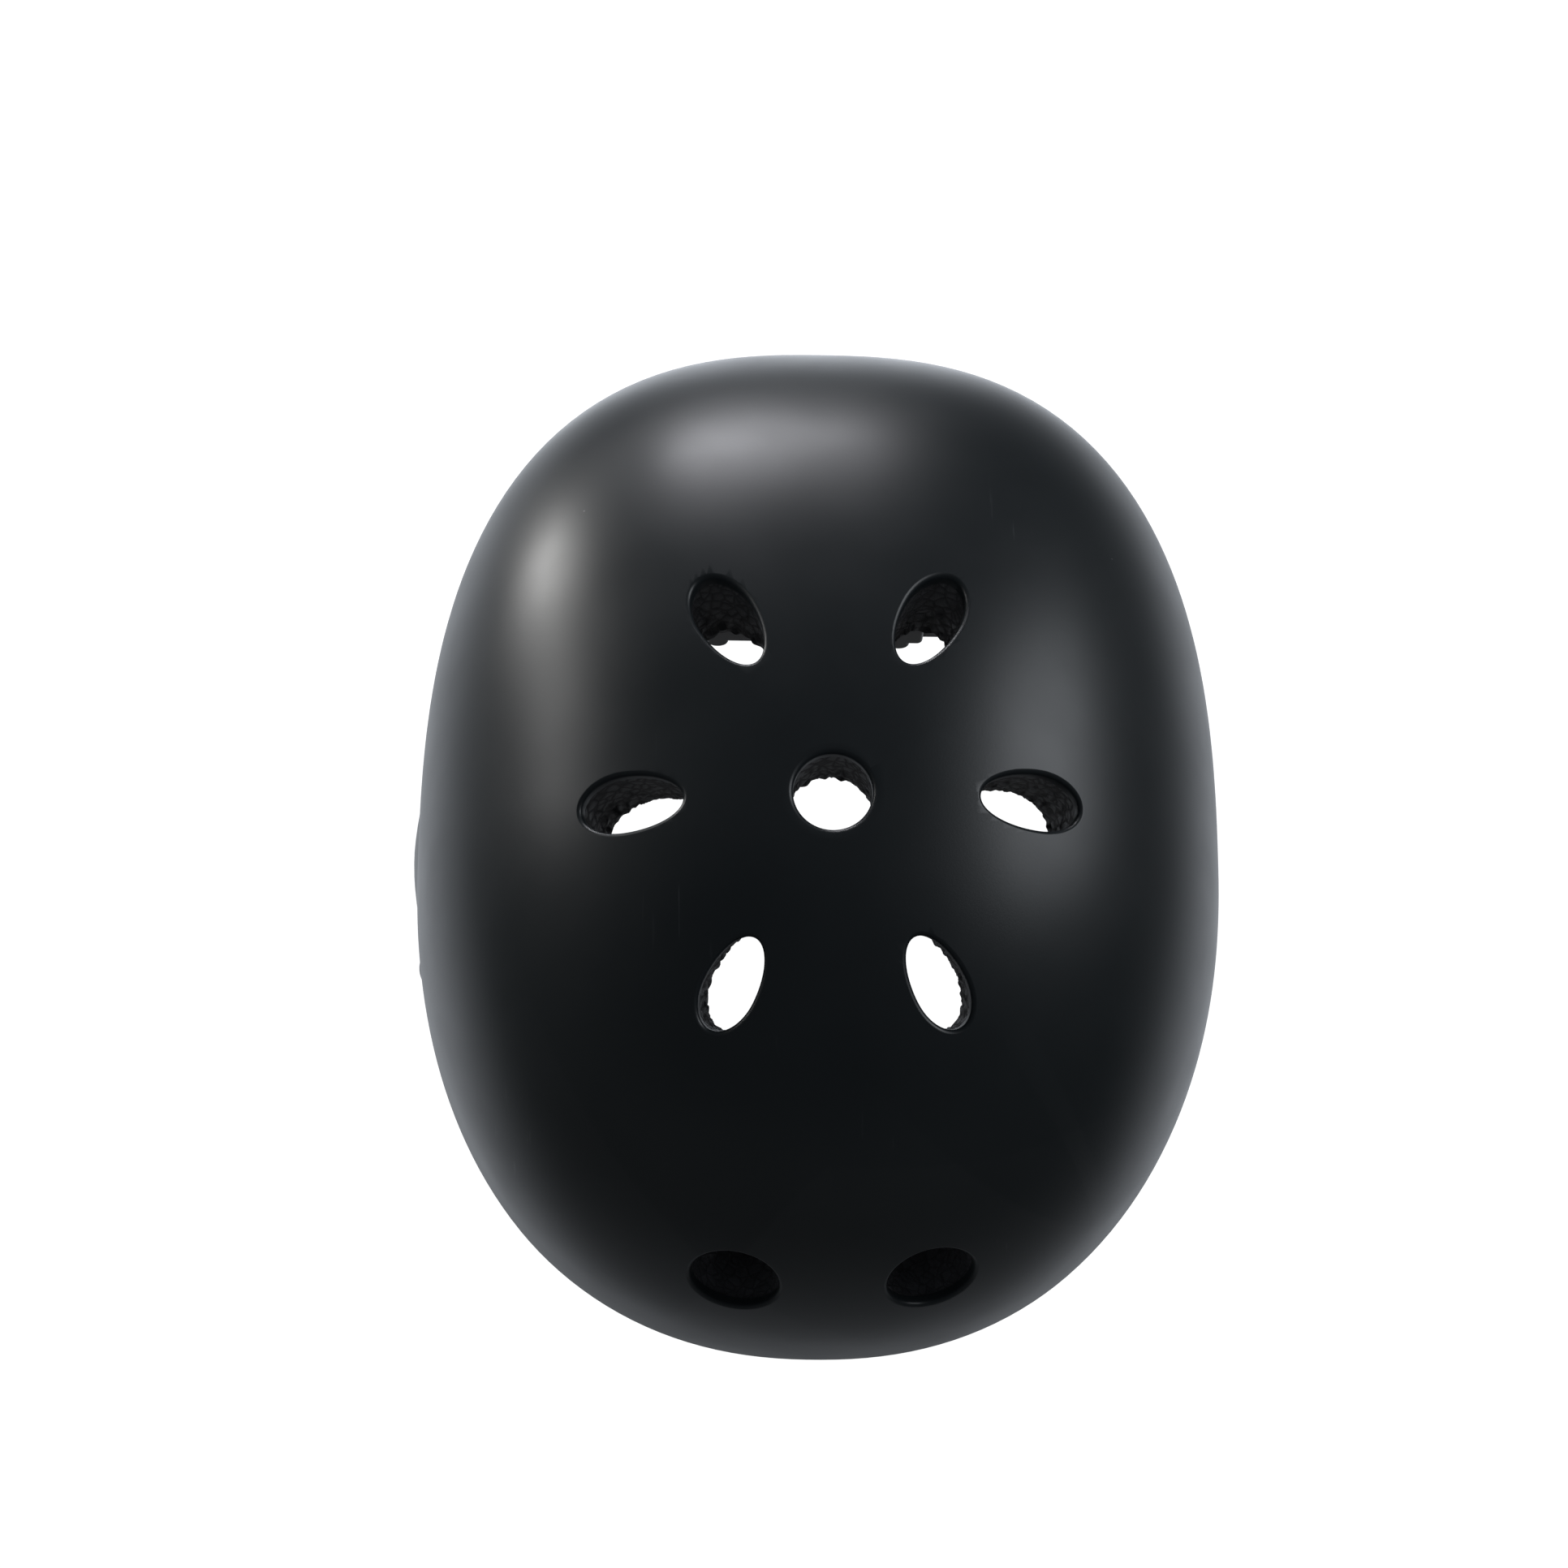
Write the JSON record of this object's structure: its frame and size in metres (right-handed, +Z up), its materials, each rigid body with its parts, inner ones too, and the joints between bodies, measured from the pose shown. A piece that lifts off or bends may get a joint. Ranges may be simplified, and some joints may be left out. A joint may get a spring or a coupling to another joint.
{
  "type": "skateboard helmet",
  "caption": "Hard-shell skateboard helmet with vents, foam liner, pads, buckled chin strap and a dial size adjuster.",
  "frame": {"origin": "centre of the helmet's widest level, where the wearer's head centre sits, midway between the side walls", "axes": "+Z up through the crown, -Y towards the brow, +X to the side of the buckle"},
  "size_m": [0.2216, 0.2743, 0.3052],
  "materials": {
    "shell": "matte black ABS, fine grain, soft sheen",
    "foam": "black expanded polystyrene, fused beads",
    "rivets": "black enamelled dome rivets",
    "washers": "plain steel washers",
    "webbing": "black polypropylene webbing",
    "buckle": "black acetal, moulded plastic, satin",
    "keeper": "black elastic rubber",
    "padding": "black brushed knit over foam",
    "hook": "black hook tape",
    "adjuster": "black nylon, moulded plastic, satin",
    "dial": "black soft-touch grip",
    "pinion": "natural acetal",
    "screws": "zinc-plated screws"
  },
  "bodies": {
    "helmet": {"outer_shell": "shell", "impact_liner": "foam", "rivet_front_left": "rivets", "rivet_front_right": "rivets", "rivet_rear_left": "rivets", "rivet_rear_right": "rivets", "rivet_washers": "washers", "strap_front_left": "webbing", "strap_front_right": "webbing", "strap_rear_left": "webbing", "strap_rear_right": "webbing", "strap_divider_left": "buckle", "strap_divider_right": "buckle", "socket_webbing": "webbing", "chin_strap": "webbing", "buckle_socket": "buckle", "buckle_plug": "buckle", "tail_keeper": "keeper", "chin_pad": "padding", "brow_pad": "padding", "crown_pad": "padding", "side_pad_left": "padding", "side_pad_right": "padding", "rear_pad_left": "padding", "rear_pad_right": "padding", "hook_dots": "hook", "fit_housing": "adjuster", "fit_housing_cover": "adjuster", "cover_screws": "screws", "tongue_pin": "adjuster"},
    "prong_front": {"buckle_prong_front": "buckle"},
    "prong_rear": {"buckle_prong_rear": "buckle"},
    "dial": {"fit_dial": "dial", "fit_pinion": "pinion", "dial_screw": "screws"},
    "band_left": {"fit_band_left": "adjuster"},
    "band_right": {"fit_band_right": "adjuster"}
  },
  "joints": [
    {"name": "prong_front_squeeze", "type": "hinge", "parent": "helmet", "child": "prong_front", "pos_m": [0.07805, -0.03204, -0.14438], "axis": [-0.9781, 0.1102, 0.1763], "range_deg": [0, 11]},
    {"name": "prong_rear_squeeze", "type": "hinge", "parent": "helmet", "child": "prong_rear", "pos_m": [0.07805, -0.02152, -0.15095], "axis": [0.9781, -0.1102, -0.1763], "range_deg": [0, 11]},
    {"name": "dial_turn", "type": "hinge", "parent": "helmet", "child": "dial", "pos_m": [0, 0.11, -0.067], "axis": [0, 1, 0], "range_deg": [0, 150]},
    {"name": "band_left_draw", "type": "slide", "parent": "helmet", "child": "band_left", "axis": [1, 0, 0], "range_m": [0, 0.0118]},
    {"name": "band_right_draw", "type": "slide", "parent": "helmet", "child": "band_right", "axis": [-1, 0, 0], "range_m": [0, 0.0118]}
  ],
  "couplings": [
    {"joint": "band_left_draw", "follows": "dial_turn", "m_per_rad": 0.0045},
    {"joint": "band_right_draw", "follows": "dial_turn", "m_per_rad": 0.0045}
  ]
}
